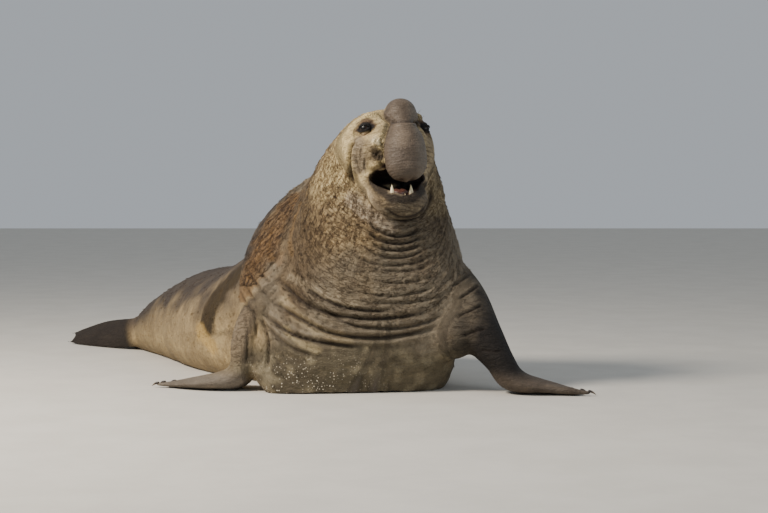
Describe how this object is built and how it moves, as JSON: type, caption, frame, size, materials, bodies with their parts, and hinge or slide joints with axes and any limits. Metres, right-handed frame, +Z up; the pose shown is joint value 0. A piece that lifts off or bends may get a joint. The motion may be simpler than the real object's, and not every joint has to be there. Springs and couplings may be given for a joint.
{
  "type": "elephant seal",
  "caption": "Bull southern elephant seal as a still life-size model: reared on its fore flippers, head turned, mouth open and proboscis inflated, chest and hind body resting on the floor",
  "frame": {"origin": "on the floor, under the middle of the whole animal's bounding box", "axes": "+Z up; the chest faces -Y; the animal's left fore flipper lies towards +X; the hind body trails back towards +Y and -X; the head is turned towards +X"},
  "size_m": [3.494, 3.374, 1.6526],
  "materials": {
    "face_skin": "short pale tan coat over loose, creased skin",
    "proboscis_skin": "taut grey-brown skin, slightly damp",
    "body_skin": "grey-brown short coat over heavy folds",
    "flipper_skin": "dark brown leathery skin, nails darker",
    "eye": "wet, near black"
  },
  "bodies": {
    "root": {"hindquarters": "body_skin", "flank": "body_skin", "chest": "body_skin", "neck": "body_skin", "head": "face_skin", "right_eye": "eye", "left_eye": "eye", "proboscis": "proboscis_skin", "lower_jaw": "face_skin", "left_fore_flipper": "flipper_skin", "right_fore_flipper": "flipper_skin", "tail": "flipper_skin", "right_hind_flipper": "flipper_skin", "left_hind_flipper": "flipper_skin"}
  },
  "joints": []
}
